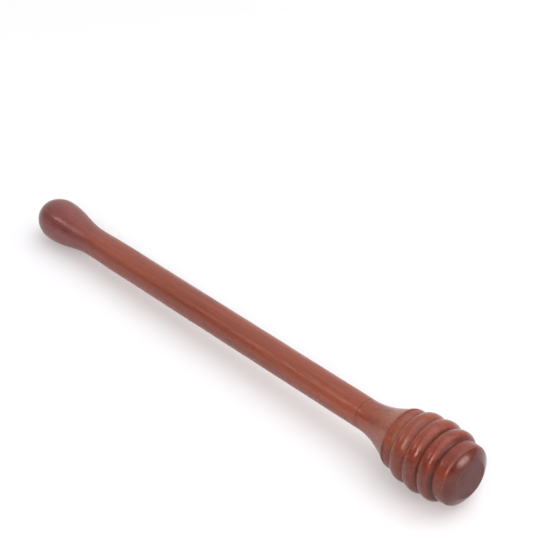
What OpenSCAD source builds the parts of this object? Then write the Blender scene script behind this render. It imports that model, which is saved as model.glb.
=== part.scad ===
// Honey dipper, about 160 mm long, turned from wood in two pieces. It lies on its side along X,
// with the knob at -X and the grooved head at +X, and touches the table at the knob and at
// its widest ring.
// The handle has a round knob at one end and a tenon at the other. The head is drilled for the
// tenon and sits face to face on the handle's shoulder, where the slim neck begins to flare.

/* [Overall] */
// Length from the tip of the knob to the flat end of the head
total_l = 160.8; // [140:0.1:190]

/* [Handle] */
// Diameter of the stick
stick_d = 8.3; // [7:0.1:10]
// Diameter of the knob
knob_d = 12; // [10.5:0.1:15]
// Distance from the tip of the knob to where it is widest
knob_nose = 7.1; // [5:0.1:9]
// Length over which the knob runs down to the waist
knob_run = 14.8; // [10:0.1:22]
// Diameter of the waist behind the knob
waist_d = 8; // [6.5:0.1:10]
// Length over which the waist widens to the stick
waist_run = 12; // [5:0.5:20]

/* [Neck and collar] */
// Length of the flared neck, from the handle's shoulder to the collar
neck_l = 12; // [8:0.1:18]
// Diameter of the neck where it passes into the collar
neck_d = 15.2; // [13:0.1:16]
// Length of the collar, from the neck to the first groove
collar_l = 3.7; // [2:0.1:6]
// Diameter of the collar
collar_d = 16.3; // [15.6:0.1:19]
// Distance from the start of the collar to the fine line around it
line_at = 1.2; // [0.5:0.1:1.8]
// Width of the fine line
line_w = 0.45; // [0.2:0.05:0.6]
// Depth of the fine line
line_depth = 0.2; // [0.05:0.05:0.3]

/* [Rings and end] */
// Length of the first full ring
ring_1_l = 4.6; // [3:0.1:6]
// Diameter of the first full ring
ring_1_d = 18.7; // [17:0.1:21]
// Length of the second full ring
ring_2_l = 4.6; // [3:0.1:6]
// Diameter of the second full ring, the widest, on which the head lies
ring_2_d = 19.5; // [18.5:0.1:23]
// Length of the third full ring
ring_3_l = 4.4; // [3:0.1:6]
// Diameter of the third full ring
ring_3_d = 18.9; // [17:0.1:21]
// Length of the end cap, from the last groove to the flat end
cap_l = 5.1; // [4:0.1:6]
// Diameter of the end cap
cap_d = 16.4; // [14:0.1:19]
// Length of the rounded edge between the end cap's side and its bevel
edge_l = 0.95; // [0.5:0.05:1.2]
// Width of the rounded edge, on the radius
edge_w = 0.55; // [0.3:0.05:0.8]
// Length of the bevel, from the rounded edge to the flat end
bevel_l = 1.45; // [0.8:0.05:1.6]
// Diameter of the flat end
face_d = 9.6; // [8:0.1:11]
// Depth of the grooves below the mean of the rings beside them
groove_depth = 1.2; // [0.6:0.05:2.5]
// Depth of the last groove below the mean of the third ring and the end cap
end_groove_depth = 1; // [0.8:0.05:2]

/* [Joint] */
// Diameter of the tenon
tenon_d = 5; // [4:0.1:6]
// Length of the tenon
tenon_l = 14; // [8:0.5:20]
// Room for glue around the tenon, on the radius
glue_gap = 0.05; // [0.02:0.01:0.1]
// Room for glue beyond the end of the tenon
end_gap = 1; // [0.5:0.1:2]

/* [Hidden] */
$fn = 96;

// Straight pieces that stand for each curved stretch of an outline
steps = 14;
// Where a ring is highest, as a share of its length from the neck's side
crest_at = 0.52;
// How flat a ring stays before it falls to its far groove
far_power = 2.1;
// The same two for the collar, which is flatter
collar_crest_at = 0.45;
collar_far_power = 1.7;
// Facets around the handle and around the head in the mesh that the dipper lies on
handle_facets = 46;
head_facets = 99;
// Distance over which the end cap rises from its groove, and how much it then narrows
cap_rise = 1.1;
cap_fall = 0.1;
// How much more it narrows within the rounded edge, before that turns in
edge_fall = 0.04;
// How far the bevel runs along the axis for each mm towards it: at the rounded edge, at the brink
bevel_run = [0.77, 0.48];
// Small rounding between the brink of the bevel and the flat end: on the radius, along the axis
brink_w = 0.6;
brink_l = 0.14;

stick_r = stick_d / 2;
knob_r = knob_d / 2;
neck_r = neck_d / 2;
crest_r = [collar_d, ring_1_d, ring_2_d, ring_3_d, cap_d] / 2;
ring_l = [collar_l, ring_1_l, ring_2_l, ring_3_l];
depth = [groove_depth, groove_depth, groove_depth, end_groove_depth];
last = len(ring_l) - 1;

// The sum of the ring lengths from the collar up to and with ring k
function run(k) = k < 0 ? 0 : ring_l[k] + run(k - 1);

// Distances along the axis, from the tip of the knob
collar_x = total_l - cap_l - run(last);
shoulder_x = collar_x - neck_l;
function ring_end(k) = collar_x + run(k);

function groove_r(k) = (crest_r[k] + crest_r[k + 1]) / 2 - depth[k];

// A ring's height above its grooves: a quarter ellipse up to the crest, then a slower fall
function swell(t) = t < crest_at
    ? sqrt(1 - pow((crest_at - t) / crest_at, 2))
    : 1 - pow((t - crest_at) / (1 - crest_at), far_power);
// The collar's height: it carries the neck's flare on up to its crest
function collar_swell(t) = t < collar_crest_at
    ? 1 - pow((collar_crest_at - t) / collar_crest_at, 2)
    : 1 - pow((t - collar_crest_at) / (1 - collar_crest_at), collar_far_power);

// A bent stretch that leaves point a towards point m and comes to point b from m
function bend(a, m, b) = [
    for (i = [1 : steps])
        let (t = i / steps)
        a * pow(1 - t, 2) + m * 2 * t * (1 - t) + b * t * t
];

// Points of an outline as [radius, distance from the tip of the knob]
knob = [
    for (i = [0 : steps])
        let (a = 90 * i / steps)
        [knob_r * sin(a), knob_nose * (1 - cos(a))]
];
knob_taper = [
    for (i = [1 : steps])
        let (t = i / steps)
        [waist_d / 2 + (knob_d - waist_d) / 4 * (1 + cos(180 * t)), knob_nose + knob_run * t]
];
waist = [
    for (i = [1 : steps])
        let (t = i / steps)
        [stick_r - (stick_d - waist_d) / 4 * (1 + cos(180 * t)), knob_nose + knob_run + waist_run * t]
];
handle_outline = concat(knob, knob_taper, waist, [
    [stick_r, shoulder_x],
    [tenon_d / 2, shoulder_x],
    [tenon_d / 2, shoulder_x + tenon_l],
    [0, shoulder_x + tenon_l]
]);

// The neck widens with the square of the distance from the shoulder
neck = [
    for (i = [0 : steps - 1])
        let (t = i / steps)
        [stick_r + (neck_r - stick_r) * t * t, shoulder_x + neck_l * t]
];

// The collar, with the fine line cut into it as a V
line_start = (line_at - line_w / 2) / collar_l;
line_end = (line_at + line_w / 2) / collar_l;
function collar_point(t, cut) =
    let (low = neck_r + (groove_r(0) - neck_r) * t)
    [low + (crest_r[0] - low) * collar_swell(t) - cut, collar_x + collar_l * t];
collar = concat(
    [for (i = [0 : steps]) collar_point(line_start * i / steps, 0)],
    [collar_point(line_at / collar_l, line_depth)],
    [for (i = [0 : steps - 1]) collar_point(line_end + (1 - line_end) * i / steps, 0)]
);

rings = [
    for (k = [1 : last], i = [0 : steps - 1])
        let (t = i / steps, low = groove_r(k - 1) + (groove_r(k) - groove_r(k - 1)) * t)
        [low + (crest_r[k] - low) * swell(t), ring_end(k - 1) + ring_l[k] * t]
];
cap_side = [
    for (i = [0 : steps])
        let (a = 90 * i / steps, low = groove_r(last))
        [low + (cap_d / 2 - low) * sin(a), ring_end(last) + cap_rise * (1 - cos(a))]
];

// The end of the cap: rounded edge, bevel, brink and flat end
side_r = cap_d / 2 - cap_fall;
side_end = [side_r, total_l - bevel_l - edge_l];
rim = [side_r - edge_w, total_l - bevel_l];
brink = [face_d / 2 + brink_w, total_l - brink_l];
edge_turn = [side_r - edge_fall, rim[1] - (edge_w - edge_fall) * bevel_run[0]];
// The bevel leaves the rim and reaches the brink along two lines that meet here
bevel_turn_r = (rim[1] - brink[1] + rim[0] * bevel_run[0] - brink[0] * bevel_run[1])
    / (bevel_run[0] - bevel_run[1]);
bevel_turn = [bevel_turn_r, rim[1] + (rim[0] - bevel_turn_r) * bevel_run[0]];
brink_turn = [brink[0] - brink_l / bevel_run[1], total_l];
cap_end = concat(
    [side_end],
    bend(side_end, edge_turn, rim),
    bend(rim, bevel_turn, brink),
    bend(brink, brink_turn, [face_d / 2, total_l])
);
head_outline = concat([[0, shoulder_x]], neck, collar, rings, cap_side, cap_end, [[0, total_l]]);

// Each piece is turned about its own axis by half a facet, so that it lies on a facet and
// not on the edge between two
handle_turn = 180 / handle_facets;
head_turn = 180 / head_facets;

// The dipper leans on its knob and on its widest ring, so its axis rises towards the head
rest_x = ring_end(1) + crest_at * ring_2_l;
lean = atan2(ring_2_d / 2 - knob_r, rest_x - knob_nose);
outline = concat(handle_outline, head_outline);
floor_z = min([for (p = outline) p[1] * sin(lean) - p[0] * cos(lean)]);
low_x = min([for (p = outline) p[1] * cos(lean) - p[0] * sin(lean)]);
high_x = max([for (p = outline) p[1] * cos(lean) + p[0] * sin(lean)]);

module lying() {
    translate([-(low_x + high_x) / 2, 0, -floor_z]) rotate([0, 90 - lean, 0]) children();
}

module handle() {
    color("#9f5f4f") lying() rotate([0, 0, handle_turn]) rotate_extrude() polygon(handle_outline);
}

module head() {
    color("#8b5043") lying() difference() {
        rotate([0, 0, head_turn]) rotate_extrude() polygon(head_outline);
        translate([0, 0, shoulder_x - end_gap])
            cylinder(h = tenon_l + 2 * end_gap, d = tenon_d + 2 * glue_gap);
    }
}

handle();
head();
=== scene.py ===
import bpy
import math
from mathutils import Matrix, Vector


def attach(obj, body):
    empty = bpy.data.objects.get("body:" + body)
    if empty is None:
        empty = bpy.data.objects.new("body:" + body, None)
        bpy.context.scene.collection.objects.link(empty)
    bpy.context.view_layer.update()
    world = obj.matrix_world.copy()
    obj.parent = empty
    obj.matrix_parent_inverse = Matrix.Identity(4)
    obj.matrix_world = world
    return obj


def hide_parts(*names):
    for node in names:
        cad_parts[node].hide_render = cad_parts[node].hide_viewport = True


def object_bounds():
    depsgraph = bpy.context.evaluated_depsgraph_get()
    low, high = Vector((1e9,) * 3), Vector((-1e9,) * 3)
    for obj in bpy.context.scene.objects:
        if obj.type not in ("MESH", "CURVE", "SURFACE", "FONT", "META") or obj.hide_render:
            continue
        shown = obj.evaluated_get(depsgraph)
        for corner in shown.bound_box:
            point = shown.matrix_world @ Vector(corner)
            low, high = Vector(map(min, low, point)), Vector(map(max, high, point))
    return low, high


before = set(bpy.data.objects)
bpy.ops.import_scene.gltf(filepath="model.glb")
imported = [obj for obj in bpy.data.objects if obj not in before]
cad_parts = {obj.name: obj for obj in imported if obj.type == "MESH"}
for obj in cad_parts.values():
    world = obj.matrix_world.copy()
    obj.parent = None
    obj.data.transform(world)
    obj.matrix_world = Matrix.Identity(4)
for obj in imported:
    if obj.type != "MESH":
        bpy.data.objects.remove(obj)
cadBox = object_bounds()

mm = 0.001

# lengths along the dipper's own axis are in mm, from the tip of the knob
handle = {
    "knobRadius": 6.0,
    "knobNose": 7.1,
    "knobRun": 14.8,
    "waistRadius": 4.0,
    "waistRun": 12.0,
    "stickRadius": 4.15,
    "shoulder": 126.4,
    "tenonRadius": 2.5,
    "tenonLength": 14.0,
    "tenonBevel": 0.4,
    "edgeBreak": 0.04,      # the hairline that shows where the two pieces meet
    # how many straight steps each stretch of the outline has, and cuts around the axis
    "noseSteps": 28,
    "knobSteps": 30,
    "waistSteps": 12,
    "stickSteps": 46,
    "cuts": 96,
}
head = {
    "start": 126.4,
    "collar": 138.4,        # where the neck passes into the collar
    "neckRadius": 7.6,
    "line": 139.6,          # the fine line on the collar
    "lineDepth": 0.2,
    "lineWidth": 0.45,
    "grooves": [142.1, 146.7, 151.3, 155.7],
    "crests": [8.15, 9.35, 9.75, 9.45, 8.2],
    "grooveDepths": [1.2, 1.2, 1.2, 1.0],
    "crowding": 0.09,       # how much closer together the points lie near the grooves
    "crestAt": 0.52,
    "farPower": 2.1,
    "collarCrestAt": 0.45,  # the collar is flatter
    "collarFarPower": 1.7,
    "capRise": 1.1,
    "capSide": 158.4,       # where the cap's side starts to turn in
    "capFall": 0.1,
    "edgeTurn": (8.06, 158.96),     # the rounded edge is drawn towards this radius and place
    "rim": (7.55, 159.35),          # where the rounded edge meets the bevel
    "bevelTurn": (6.6, 160.08),
    "brink": (5.4, 160.66),         # where the bevel meets the small rounding at the flat end
    "brinkTurn": (5.11, 160.8),
    "face": (4.8, 160.8),           # where the flat end starts
    "boreRadius": 2.55,
    "boreLength": 15.0,
    "neckSteps": 26,
    "collarSteps": 52,
    "ringSteps": 26,
    "capSteps": 14,
    "edgeSteps": 14,
    "brinkSteps": 10,
    "faceSteps": 40,
    "cuts": 144,
}
weldWithin = 0.002 * mm     # points of a turned piece that lie closer together become one
sanding = {
    "depth": 0.05 * mm,
    "spread": 9 * mm,
    "keptEdge": 38,         # degrees; sharper edges than this stay crisp
}
# the mask that the head's material reads for painted shade and dullness
shadeAndFinishMask = {
    "line": 0.55,
    "groove": 0.3,
    "nearReach": 0.85,      # how far the mask reaches on either side of a groove
    "farReach": 0.8,
    "shares": [1, 0.8, 0.5, 0.55],  # how much painted shade and dullness each groove gets
    "bevel": -0.09,         # the bevel of the end is the smoothest part
    "bevelReach": 0.3,
}


def clearSelection():
    bpy.ops.object.select_all(action="DESELECT")


def arc(count):
    return [math.radians(90 * i / count) for i in range(1, count + 1)]


def shares(count, first=1):
    return [i / count for i in range(first, count + 1)]


def curve(first, middle, last, count):
    # a bent stretch from the first point to the last, drawn towards the middle one
    return [tuple(a * (1 - t) ** 2 + 2 * b * t * (1 - t) + c * t * t
                  for a, b, c in zip(first, middle, last)) for t in shares(count, 0)]


def handleOutline():
    # points as (radius, distance from the tip of the knob)
    h = handle
    points = [(0, 0)]
    points += [(h["knobRadius"] * math.sin(a), h["knobNose"] * (1 - math.cos(a)))
               for a in arc(h["noseSteps"])]
    halfStep = (h["knobRadius"] - h["waistRadius"]) / 2
    points += [(h["waistRadius"] + halfStep * (1 + math.cos(math.pi * t)), h["knobNose"] + h["knobRun"] * t)
               for t in shares(h["knobSteps"])]
    waistAt = h["knobNose"] + h["knobRun"]
    halfStep = (h["stickRadius"] - h["waistRadius"]) / 2
    points += [(h["stickRadius"] - halfStep * (1 + math.cos(math.pi * t)), waistAt + h["waistRun"] * t)
               for t in shares(h["waistSteps"])]
    stickAt = waistAt + h["waistRun"]
    stickLength = h["shoulder"] - h["edgeBreak"] - stickAt
    points += [(h["stickRadius"], stickAt + stickLength * t) for t in shares(h["stickSteps"])]
    points += [
        (h["stickRadius"] - h["edgeBreak"], h["shoulder"]),
        (h["tenonRadius"], h["shoulder"]),
        (h["tenonRadius"], h["shoulder"] + h["tenonLength"] - h["tenonBevel"]),
        (h["tenonRadius"] - h["tenonBevel"], h["shoulder"] + h["tenonLength"]),
        (0, h["shoulder"] + h["tenonLength"]),
    ]
    return points


def ringSwell(t):
    # height of a ring above its grooves, steep towards the neck and slow towards the end
    if t < head["crestAt"]:
        return math.sqrt(1 - ((head["crestAt"] - t) / head["crestAt"]) ** 2)
    return 1 - ((t - head["crestAt"]) / (1 - head["crestAt"])) ** head["farPower"]


def collarSwell(t):
    # the collar carries the neck's flare on up to its crest
    if t < head["collarCrestAt"]:
        return 1 - ((head["collarCrestAt"] - t) / head["collarCrestAt"]) ** 2
    return 1 - ((t - head["collarCrestAt"]) / (1 - head["collarCrestAt"])) ** head["collarFarPower"]


def headOutline():
    h = head
    stick = handle["stickRadius"]
    valleys = [(a + b) / 2 - depth for a, b, depth in zip(h["crests"], h["crests"][1:], h["grooveDepths"])]
    points = [
        (0, h["start"] + h["boreLength"]),
        (h["boreRadius"], h["start"] + h["boreLength"]),
        (h["boreRadius"], h["start"]),
        (stick - handle["edgeBreak"], h["start"]),
        (stick, h["start"] + handle["edgeBreak"]),
    ]
    neck = h["collar"] - h["start"]
    points += [(stick + (h["neckRadius"] - stick) * t * t, h["start"] + neck * t)
               for t in shares(h["neckSteps"])]
    starts = [h["collar"]] + h["grooves"]
    lows = [h["neckRadius"]] + valleys
    for ring in range(4):
        length = starts[ring + 1] - starts[ring]
        for t in shares(h["ringSteps"] if ring else h["collarSteps"]):
            eased = t - h["crowding"] * math.sin(2 * math.pi * t)
            low = lows[ring] + (lows[ring + 1] - lows[ring]) * eased
            rise = ringSwell(eased) if ring else collarSwell(eased)
            along = starts[ring] + length * eased
            cut = 0
            if ring == 0:
                cut = h["lineDepth"] * max(0, 1 - abs(along - h["line"]) / (h["lineWidth"] / 2))
            points.append((low + (h["crests"][ring] - low) * rise - cut, along))
    capRadius = h["crests"][4]
    points += [(valleys[3] + (capRadius - valleys[3]) * math.sin(a),
                h["grooves"][3] + h["capRise"] * (1 - math.cos(a))) for a in arc(h["capSteps"])]
    sideEnd = (capRadius - h["capFall"], h["capSide"])
    points += curve(sideEnd, h["edgeTurn"], h["rim"], h["edgeSteps"])
    points += curve(h["rim"], h["bevelTurn"], h["brink"], h["edgeSteps"])[1:]
    points += curve(h["brink"], h["brinkTurn"], h["face"], h["brinkSteps"])[1:]
    points += [(h["face"][0] * (1 - t), h["face"][1]) for t in shares(h["faceSteps"])]
    return points


def turnOnLathe(name, outline, cuts):
    # one vertex is drawn out along the outline, and the line is spun about the lathe's axis
    clearSelection()
    bpy.ops.mesh.primitive_plane_add(size=2 * mm)
    piece = bpy.context.object
    piece.name = name
    bpy.ops.object.mode_set(mode="EDIT")
    bpy.ops.mesh.select_all(action="SELECT")
    bpy.ops.mesh.merge(type="CENTER")
    here = Vector((outline[0][0] * mm, 0, outline[0][1] * mm))
    bpy.ops.transform.translate(value=here)
    for radius, along in outline[1:]:
        there = Vector((radius * mm, 0, along * mm))
        bpy.ops.mesh.extrude_vertices_move(TRANSFORM_OT_translate={"value": there - here})
        here = there
    bpy.ops.mesh.select_all(action="SELECT")
    bpy.ops.mesh.spin(steps=cuts, angle=2 * math.pi, center=(0, 0, 0), axis=(0, 0, 1))
    bpy.ops.mesh.select_all(action="SELECT")
    bpy.ops.mesh.remove_doubles(threshold=weldWithin)
    bpy.ops.mesh.normals_make_consistent(inside=False)
    bpy.ops.object.mode_set(mode="OBJECT")
    return piece


def lyingPlace():
    # the head is thicker than the knob, so the axis rises towards the head
    ringAt = head["grooves"][1] + head["crestAt"] * (head["grooves"][2] - head["grooves"][1])
    lean = math.atan2(max(head["crests"]) - handle["knobRadius"], ringAt - handle["knobNose"])
    along = Vector((math.cos(lean), 0, math.sin(lean)))
    down = Vector((math.sin(lean), 0, -math.cos(lean)))
    side = along.cross(down)
    turn = Matrix((down, side, along)).transposed().to_4x4()
    rise = handle["knobRadius"] * math.cos(lean) - handle["knobNose"] * math.sin(lean)
    # the knob touches the near side of the box
    reach = min(distance * math.cos(lean) - radius * math.sin(lean) for radius, distance in handleOutline())
    return Matrix.Translation((cadBox[0][0] - reach * mm, 0, rise * mm)) @ turn, lean


def layDown(piece):
    piece.matrix_world = lyingPlace()[0]
    clearSelection()
    piece.select_set(True)
    bpy.context.view_layer.objects.active = piece
    bpy.ops.object.transform_apply(location=True, rotation=True, scale=True)


def handSand(piece):
    # sanding by hand leaves the turned surface a few hundredths of a millimetre uneven
    unevenness = bpy.data.textures.new(piece.name + "Uneven", "CLOUDS")
    unevenness.noise_scale = sanding["spread"]
    unevenness.noise_depth = 1
    paper = piece.modifiers.new("sanding", "DISPLACE")
    paper.texture = unevenness
    paper.texture_coords = "LOCAL"
    paper.mid_level = 1
    paper.strength = sanding["depth"]
    clearSelection()
    piece.select_set(True)
    bpy.context.view_layer.objects.active = piece
    bpy.ops.object.modifier_apply(modifier="sanding")
    bpy.ops.object.shade_smooth_by_angle(angle=math.radians(sanding["keptEdge"]))


def noteSurface(piece, hollowOf):
    # two masks that the materials read: end grain, and nearness to the grooves, the fine line and the bevel,
    # where painted shade and dullness go
    place, lean = lyingPlace()
    back = place.inverted()
    along = Vector((math.cos(lean), 0, math.sin(lean)))
    mesh = piece.data
    endGrain = mesh.attributes.new("endGrain", "FLOAT", "POINT")
    grooveShadeAndDull = mesh.attributes.new("grooveShadeAndDull", "FLOAT", "POINT")
    for vertex in mesh.vertices:
        own = back @ vertex.co
        endGrain.data[vertex.index].value = abs(vertex.normal.dot(along))
        grooveShadeAndDull.data[vertex.index].value = hollowOf(math.hypot(own.x, own.y) / mm, own.z / mm)


def headHollow(radius, along):
    # painted shade and dullness: most in the fine line, some beside the grooves, and below 0 on the bevel
    if abs(along - head["line"]) < head["lineWidth"]:
        return shadeAndFinishMask["line"]
    if along < head["line"]:
        return 0
    if along > head["capSide"]:
        nearness = max(0, min(1, (along - head["rim"][1]) / shadeAndFinishMask["bevelReach"] + 1))
        return shadeAndFinishMask["bevel"] * nearness if radius > head["face"][0] else 0
    masks = []
    for groove, share in zip(head["grooves"], shadeAndFinishMask["shares"]):
        if along < groove:
            mask = 1 - (groove - along) / shadeAndFinishMask["nearReach"]
        else:
            mask = shadeAndFinishMask["groove"] - (along - groove) / shadeAndFinishMask["farReach"]
        masks.append(share * max(0, min(shadeAndFinishMask["groove"], mask)))
    return max(masks)


handleWood = {
    "name": "handleWood",
    "light": (0.325, 0.080, 0.042),
    "dark": (0.21, 0.048, 0.027),
    # place along the dipper as a share of its length, and what the colour is multiplied by
    # the two stops at the knob paint it darker and bluer: painted shade and a painted cool reflection
    "tints": [(0.0, (0.70, 0.80, 1.40)), (0.08, (0.76, 0.86, 1.40)), (0.2, (1.04, 1.05, 1.1)),
              (0.4, (0.87, 0.81, 0.78)), (0.62, (0.96, 0.92, 0.88)), (0.78, (1.06, 1.0, 0.97))],
    "roughness": 0.27,
    "polish": 0.09,
    "paintedShadeSide": (1, 1, 1),
    "turn": 0.0,
}
headWood = {
    "name": "headWood",
    "light": (0.325, 0.074, 0.038),
    "dark": (0.19, 0.038, 0.022),
    "tints": [(0.0, (1.06, 1.05, 1.05)), (0.79, (1.06, 1.05, 1.05)), (0.84, (1.06, 1.35, 1.30)),
              (0.88, (1.04, 1.1, 1.05)), (0.93, (0.92, 0.81, 0.78)), (0.955, (0.86, 0.68, 0.66)),
              (0.98, (0.80, 0.68, 0.74))],
    "roughness": 0.18,
    "polish": 0.0,
    # painted shade on the head's lower side
    "paintedShadeSide": (0.70, 0.64, 0.68),
    "turn": 1.9,
}
# the noises in both woods: how fine along the dipper and across it, how detailed, and between
# which values each sets in
noises = {
    "roughness": 0.6,       # the same for all of them
    "fibre": {"scale": (70, 2300, 2300), "detail": 4, "distortion": 0.0, "from": (0.28, 0.72)},
    "figure": {"scale": (16, 330, 330), "detail": 3, "distortion": 0.15, "from": (0.3, 0.7)},
    "pores": {"scale": (420, 5200, 5200), "detail": 1, "distortion": 0.0, "from": (0.62, 0.7)},
    "dulled": {"scale": (120, 160, 160), "detail": 3, "distortion": 0.0, "from": (0.35, 0.7)},
    "uneven": {"scale": (900, 1300, 1300), "detail": 2, "distortion": 0.0},
}
# what both woods have in common
mixture = {
    "fibre": 0.45,
    "figure": 0.55,
    "tintsFrom": (-80 * mm, 80 * mm),       # the two ends of the tints' scale
}
# stain in the pores and on end grain, and painted shade beside the grooves, in the fine line, on steep
# slopes and on one side of the head
stainAndShade = {
    "pores": 0.35,
    # painted shade beside the grooves and in the fine line
    "grooveShadeAndDull": 0.3,
    "endStainAndShade": 0.8,
    "endStainAndShadeFrom": (0.62, 0.84),       # how far a surface faces along the dipper where end-grain stain, and painted shade on the bevel and steep slopes, set in
    "colour": (0.35, 0.30, 0.34),
    "flatEndFrom": (0.93, 0.99),
    "flatEnd": (0.78, 0.72, 1.0),
    # painted shade on the head's lower side, which faces this way
    "paintedShadeFacing": (0, -0.94, -0.34),
    "paintedShadeFrom": (1.2 * mm, 5 * mm),
}
coat = {
    "wear": 0.14,
    "flatEnd": 0.24,
    "flatEndFrom": (0.92, 0.99),
    "grooveShadeAndDull": 0.8,
    "polishFrom": (0.1, 0.05),      # share of the length over which the knob's polish sets in
    "specular": 0.46,
    "fibreRelief": 0.25,
    "poreRelief": 0.6,
    "unevenRelief": 0.7,
    "bump": 0.35,
    "bumpDepth": 0.12 * mm,
}


def addNode(tree, kind, place, **values):
    node = tree.nodes.new(kind)
    node.location = place
    for name, value in values.items():
        if name in node.inputs:
            node.inputs[name].default_value = value
        else:
            setattr(node, name, value)
    return node


def mathNode(tree, operation, place, first, second, clamp=False):
    node = tree.nodes.new("ShaderNodeMath")
    node.operation = operation
    node.location = place
    node.use_clamp = clamp
    for socket, value in zip(node.inputs, (first, second)):
        if isinstance(value, (int, float)):
            socket.default_value = value
        else:
            tree.links.new(value, socket)
    return node.outputs[0]


def stretchedNoise(tree, vector, sizes, place):
    stretch = addNode(tree, "ShaderNodeMapping", place)
    stretch.inputs["Scale"].default_value = sizes["scale"]
    tree.links.new(vector, stretch.inputs["Vector"])
    noise = addNode(tree, "ShaderNodeTexNoise", (place[0] + 200, place[1]), Scale=1.0,
                    Detail=sizes["detail"], Roughness=noises["roughness"], Distortion=sizes["distortion"])
    tree.links.new(stretch.outputs["Vector"], noise.inputs["Vector"])
    return noise.outputs["Fac"]


def rangeNode(tree, value, low, high, place, toLow=0.0, toHigh=1.0, smooth=True):
    node = addNode(tree, "ShaderNodeMapRange", place)
    node.interpolation_type = "SMOOTHSTEP" if smooth else "LINEAR"
    tree.links.new(value, node.inputs["Value"])
    node.inputs["From Min"].default_value = low
    node.inputs["From Max"].default_value = high
    node.inputs["To Min"].default_value = toLow
    node.inputs["To Max"].default_value = toHigh
    return node.outputs["Result"]


def tintNode(tree, place, mask, colour, tint):
    # multiplies a colour by a tint where the mask is 1
    node = addNode(tree, "ShaderNodeMix", place, data_type="RGBA", blend_type="MULTIPLY")
    tree.links.new(mask, node.inputs["Factor"])
    tree.links.new(colour, node.inputs[6])
    node.inputs[7].default_value = (*tint, 1)
    return node.outputs[2]


def newSockets(group, inputs, outputs):
    kinds = {"value": "NodeSocketFloat", "vector": "NodeSocketVector", "colour": "NodeSocketColor"}
    for name, kind in inputs:
        group.interface.new_socket(name, in_out="INPUT", socket_type=kinds[kind])
    for name, kind in outputs:
        group.interface.new_socket(name, in_out="OUTPUT", socket_type=kinds[kind])


def longGrainGroup():
    # fibres, broad figure and open pores, all drawn out along X
    group = bpy.data.node_groups.new("longGrain", "ShaderNodeTree")
    newSockets(group, [("Vector", "vector")], [("Fibre", "value"), ("Figure", "value"), ("Pores", "value")])
    start = addNode(group, "NodeGroupInput", (-600, 0))
    end = addNode(group, "NodeGroupOutput", (600, 0))
    vector = start.outputs["Vector"]
    fibre = stretchedNoise(group, vector, noises["fibre"], (-400, 300))
    figure = stretchedNoise(group, vector, noises["figure"], (-400, 0))
    pores = stretchedNoise(group, vector, noises["pores"], (-400, -300))
    fibre = rangeNode(group, fibre, *noises["fibre"]["from"], (100, 300))
    group.links.new(fibre, end.inputs["Fibre"])
    figure = rangeNode(group, figure, *noises["figure"]["from"], (100, 0))
    group.links.new(figure, end.inputs["Figure"])
    pores = rangeNode(group, pores, *noises["pores"]["from"], (100, -300))
    group.links.new(pores, end.inputs["Pores"])
    return group


def wearGroup():
    # a cloudy mask of where hands and washing have dulled the finish
    group = bpy.data.node_groups.new("handWear", "ShaderNodeTree")
    newSockets(group, [("Vector", "vector")], [("Dulled", "value"), ("Uneven", "value")])
    start = addNode(group, "NodeGroupInput", (-600, 0))
    end = addNode(group, "NodeGroupOutput", (500, 0))
    dulled = stretchedNoise(group, start.outputs["Vector"], noises["dulled"], (-400, 150))
    uneven = stretchedNoise(group, start.outputs["Vector"], noises["uneven"], (-400, -150))
    dulled = rangeNode(group, dulled, *noises["dulled"]["from"], (100, 150))
    group.links.new(dulled, end.inputs["Dulled"])
    group.links.new(uneven, end.inputs["Uneven"])
    return group


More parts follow.
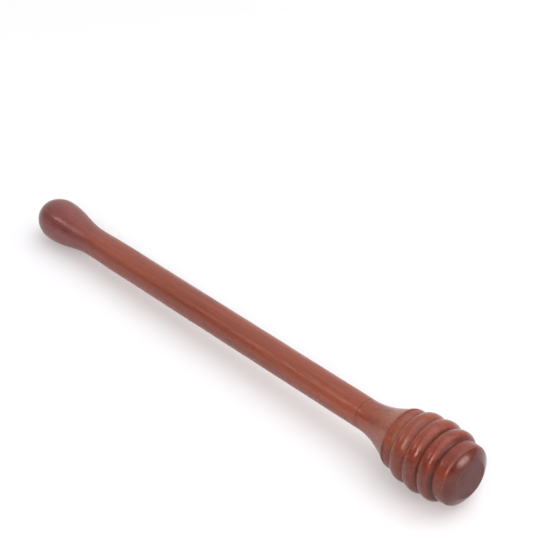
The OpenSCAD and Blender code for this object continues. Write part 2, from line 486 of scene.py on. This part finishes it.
def turnedWood(sizes, grain, wear):
    wood = bpy.data.materials.new(sizes["name"])
    wood.use_nodes = True
    tree = wood.node_tree
    links = tree.links
    surface = tree.nodes["Principled BSDF"]
    coords = addNode(tree, "ShaderNodeTexCoord", (-1600, 0))
    # the grain runs along the dipper's own axis
    lay = addNode(tree, "ShaderNodeMapping", (-1400, 0))
    lay.inputs["Rotation"].default_value = (sizes["turn"], lyingPlace()[1], 0)
    links.new(coords.outputs["Object"], lay.inputs["Vector"])
    grainNode = addNode(tree, "ShaderNodeGroup", (-1200, 200))
    grainNode.node_tree = grain
    links.new(lay.outputs["Vector"], grainNode.inputs["Vector"])
    wearNode = addNode(tree, "ShaderNodeGroup", (-1200, -100))
    wearNode.node_tree = wear
    links.new(lay.outputs["Vector"], wearNode.inputs["Vector"])
    endGrain = addNode(tree, "ShaderNodeAttribute", (-1200, -300), attribute_name="endGrain").outputs["Fac"]
    grooveShadeAndDull = addNode(tree, "ShaderNodeAttribute", (-1200, -500), attribute_name="grooveShadeAndDull").outputs["Fac"]

    # colour: light and dark wood by fibre and figure
    fibre = mathNode(tree, "MULTIPLY", (-1100, 400), grainNode.outputs["Fibre"], mixture["fibre"])
    figure = mathNode(tree, "MULTIPLY", (-1100, 300), grainNode.outputs["Figure"], mixture["figure"])
    blend = mathNode(tree, "ADD", (-950, 300), fibre, figure, True)
    tone = addNode(tree, "ShaderNodeMix", (-750, 300), data_type="RGBA")
    links.new(blend, tone.inputs["Factor"])
    tone.inputs[6].default_value = (*sizes["dark"], 1)
    tone.inputs[7].default_value = (*sizes["light"], 1)
    # slow changes of tone along the piece
    split = addNode(tree, "ShaderNodeSeparateXYZ", (-1200, 600))
    links.new(lay.outputs["Vector"], split.inputs["Vector"])
    along = rangeNode(tree, split.outputs["X"], *mixture["tintsFrom"], (-1000, 600), smooth=False)
    tints = addNode(tree, "ShaderNodeValToRGB", (-800, 600))
    tints.color_ramp.interpolation = "EASE"
    while len(tints.color_ramp.elements) < len(sizes["tints"]):
        tints.color_ramp.elements.new(0.5)
    for stop, (place, colour) in zip(tints.color_ramp.elements, sizes["tints"]):
        stop.position = place
        stop.color = (*colour, 1)
    links.new(along, tints.inputs["Fac"])
    tinted = addNode(tree, "ShaderNodeMix", (-500, 400), data_type="RGBA", blend_type="MULTIPLY")
    tinted.inputs["Factor"].default_value = 1
    links.new(tone.outputs[2], tinted.inputs[6])
    links.new(tints.outputs["Color"], tinted.inputs[7])
    # painted shade: the head's wood is darkened on its lower side, which faces -Y and down
    side = addNode(tree, "ShaderNodeVectorMath", (-1200, 800), operation="DOT_PRODUCT")
    links.new(coords.outputs["Object"], side.inputs[0])
    side.inputs[1].default_value = stainAndShade["paintedShadeFacing"]
    paintedShadeSide = rangeNode(tree, side.outputs["Value"], *stainAndShade["paintedShadeFrom"], (-1000, 800))
    sideShaded = tintNode(tree, (-400, 550), paintedShadeSide, tinted.outputs[2], sizes["paintedShadeSide"])
    # pores and end grain take more of the stain; the darkening beside the grooves, in the fine line and on
    # the bevel and steep slopes is painted shade
    endStainAndShade = rangeNode(tree, endGrain, *stainAndShade["endStainAndShadeFrom"], (-700, -200))
    stainAndShadeTaken = mathNode(tree, "ADD", (-500, 0),
                     mathNode(tree, "MULTIPLY", (-700, 100), grainNode.outputs["Pores"], stainAndShade["pores"]),
                     mathNode(tree, "MULTIPLY", (-700, -50), grooveShadeAndDull, stainAndShade["grooveShadeAndDull"]), True)
    stainAndShadeTaken = mathNode(tree, "ADD", (-350, 0), stainAndShadeTaken,
                     mathNode(tree, "MULTIPLY", (-500, -150), endStainAndShade, stainAndShade["endStainAndShade"]), True)
    stainedAndShaded = tintNode(tree, (-250, 300), stainAndShadeTaken, sideShaded, stainAndShade["colour"])
    # the flat end is cut straight across the fibres; its greyer tint is the end grain's, and its bluish cast
    # is painted reflection
    flatEnd = rangeNode(tree, endGrain, *stainAndShade["flatEndFrom"], (-250, 100))
    faced = tintNode(tree, (-50, 300), flatEnd, stainedAndShaded, stainAndShade["flatEnd"])
    links.new(faced, surface.inputs["Base Color"])

    # finish: a thin satin coat, duller where it is worn, in the grooves and on the end grain
    rough = mathNode(tree, "ADD", (-350, -300), sizes["roughness"],
                     mathNode(tree, "MULTIPLY", (-500, -300), wearNode.outputs["Dulled"], coat["wear"]))
    dullEnd = rangeNode(tree, endGrain, *coat["flatEndFrom"], (-700, -450))
    rough = mathNode(tree, "ADD", (-200, -300), rough,
                     mathNode(tree, "MULTIPLY", (-500, -450), dullEnd, coat["flatEnd"]))
    rough = mathNode(tree, "ADD", (-50, -300), rough,
                     mathNode(tree, "MULTIPLY", (-200, -450), grooveShadeAndDull, coat["grooveShadeAndDull"]))
    # the hand polishes the knob
    handled = rangeNode(tree, along, *coat["polishFrom"], (-200, -600))
    rough = mathNode(tree, "SUBTRACT", (100, -300), rough,
                     mathNode(tree, "MULTIPLY", (-50, -450), handled, sizes["polish"]))
    links.new(rough, surface.inputs["Roughness"])
    surface.inputs["Specular IOR Level"].default_value = coat["specular"]

    # relief: fibres stand up, pores lie open, and the coat is a little uneven
    fibre = mathNode(tree, "MULTIPLY", (-700, -600), grainNode.outputs["Fibre"], coat["fibreRelief"])
    pores = mathNode(tree, "MULTIPLY", (-700, -750), grainNode.outputs["Pores"], coat["poreRelief"])
    relief = mathNode(tree, "SUBTRACT", (-500, -650), fibre, pores)
    uneven = mathNode(tree, "MULTIPLY", (-500, -850), wearNode.outputs["Uneven"], coat["unevenRelief"])
    relief = mathNode(tree, "ADD", (-350, -650), relief, uneven)
    bump = addNode(tree, "ShaderNodeBump", (-150, -600), Strength=coat["bump"], Distance=coat["bumpDepth"])
    links.new(relief, bump.inputs["Height"])
    links.new(bump.outputs["Normal"], surface.inputs["Normal"])
    return wood


stage = {
    "floorSize": 6,
    "floorColour": (0.755, 0.765, 0.79),
    "floorRoughness": 0.95,
    "floorSpecular": 0.1,
    "cameraGlow": 0.19,
    "roomPale": 0.95,
    "roomDark": 0.06,
    "paleSide": (-0.6, 0.6, 0.5),
    "paleFrom": (0.1, 0.95),        # how far a direction faces the pale side where the room turns pale
}
lamps = [
    {"name": "softBox", "place": (0.42, 0.16, 0.89), "target": (0, 0, 0), "width": 1.5, "height": 1.3,
     "watts": 8.5, "colour": (0.965, 0.995, 1)},
    {"name": "rightLamp", "place": (0.922, 0.329, 0.208), "target": (0, 0, 0), "width": 0.44, "height": 0.03,
     "watts": 3.3, "colour": (1, 0.72, 0.64)},
    {"name": "leftLamp", "place": (0.38, -0.60, 0.49), "target": (0, 0, 0), "width": 0.30, "height": 0.36,
     "watts": 3.2, "colour": (1, 0.91, 0.87)},
    {"name": "windowLamp", "place": (-0.312, -0.394, 0.396), "target": (-0.07, 0, 0), "width": 0.15,
     "height": 0.13, "watts": 0.42, "colour": (1, 0.86, 0.84)},
]
view = {
    "aim": (-0.21 * mm, 13.09 * mm, 19.99 * mm),
    "distance": 533.4 * mm,
    "azimuth": 46.425,
    "elevation": 36.925,
    "lens": 134.65,
    "sensor": 36.0,
}


def addCamera():
    azimuth = math.radians(view["azimuth"])
    elevation = math.radians(view["elevation"])
    forward = Vector((-math.sin(azimuth) * math.cos(elevation),
                      math.cos(azimuth) * math.cos(elevation), -math.sin(elevation)))
    bpy.ops.object.camera_add(location=Vector(view["aim"]) - forward * view["distance"],
                              rotation=forward.to_track_quat("-Z", "Y").to_euler())
    camera = bpy.context.object
    camera.data.lens = view["lens"]
    camera.data.sensor_width = view["sensor"]
    bpy.context.scene.camera = camera


def addFloor():
    clearSelection()
    bpy.ops.mesh.primitive_plane_add(size=stage["floorSize"])
    floor = bpy.context.object
    floor.name = "floor"
    paint = bpy.data.materials.new("palePaper")
    paint.use_nodes = True
    tree = paint.node_tree
    surface = tree.nodes["Principled BSDF"]
    surface.inputs["Base Color"].default_value = (*stage["floorColour"], 1)
    surface.inputs["Roughness"].default_value = stage["floorRoughness"]
    surface.inputs["Specular IOR Level"].default_value = stage["floorSpecular"]
    # what the camera and reflections see of the floor is lifted to white; its shadows stay
    rays = addNode(tree, "ShaderNodeLightPath", (-700, -200))
    seen = mathNode(tree, "MAXIMUM", (-500, -200), rays.outputs["Is Camera Ray"],
                    rays.outputs["Is Glossy Ray"])
    seen = mathNode(tree, "MAXIMUM", (-350, -200), seen, rays.outputs["Is Transmission Ray"])
    glow = mathNode(tree, "MULTIPLY", (-200, -200), seen, stage["cameraGlow"])
    surface.inputs["Emission Color"].default_value = (1, 1, 1, 1)
    tree.links.new(glow, surface.inputs["Emission Strength"])
    floor.data.materials.append(paint)


def addLamp(sizes):
    clearSelection()
    aim = Vector(sizes["target"]) - Vector(sizes["place"])
    bpy.ops.object.light_add(type="AREA", location=sizes["place"],
                             rotation=aim.to_track_quat("-Z", "Y").to_euler())
    lamp = bpy.context.object
    lamp.name = sizes["name"]
    lamp.data.shape = "RECTANGLE"
    lamp.data.size = sizes["width"]
    lamp.data.size_y = sizes["height"]
    lamp.data.energy = sizes["watts"]
    lamp.data.color = sizes["colour"]


def addLight():
    world = bpy.data.worlds.new("room")
    bpy.context.scene.world = world
    world.use_nodes = True
    tree = world.node_tree
    background = tree.nodes["Background"]
    background.inputs["Color"].default_value = (1, 1, 1, 1)
    # the room is paler behind the dipper than on the camera's side
    coords = addNode(tree, "ShaderNodeTexCoord", (-800, 0))
    behind = addNode(tree, "ShaderNodeVectorMath", (-600, 0), operation="DOT_PRODUCT")
    tree.links.new(coords.outputs["Generated"], behind.inputs[0])
    behind.inputs[1].default_value = stage["paleSide"]
    level = rangeNode(tree, behind.outputs["Value"], *stage["paleFrom"], (-400, 0),
                      stage["roomDark"], stage["roomPale"])
    tree.links.new(level, background.inputs["Strength"])
    for lamp in lamps:
        addLamp(lamp)


addCamera()
addFloor()
addLight()
print("stage: camera, floor and lamps")

turnedHandle = turnOnLathe("turnedHandle", handleOutline(), handle["cuts"])
turnedHead = turnOnLathe("turnedHead", headOutline(), head["cuts"])
for piece, hollowOf in ((turnedHandle, lambda radius, along: 0), (turnedHead, headHollow)):
    layDown(piece)
    handSand(piece)
    noteSurface(piece, hollowOf)
    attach(piece, "root")
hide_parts("handle")
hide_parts("head")
print("stage: handle and head turned")

grain = longGrainGroup()
wear = wearGroup()
turnedHandle.data.materials.append(turnedWood(handleWood, grain, wear))
turnedHead.data.materials.append(turnedWood(headWood, grain, wear))
print("stage: woods finished")

bpy.context.scene.view_settings.view_transform = "Standard"
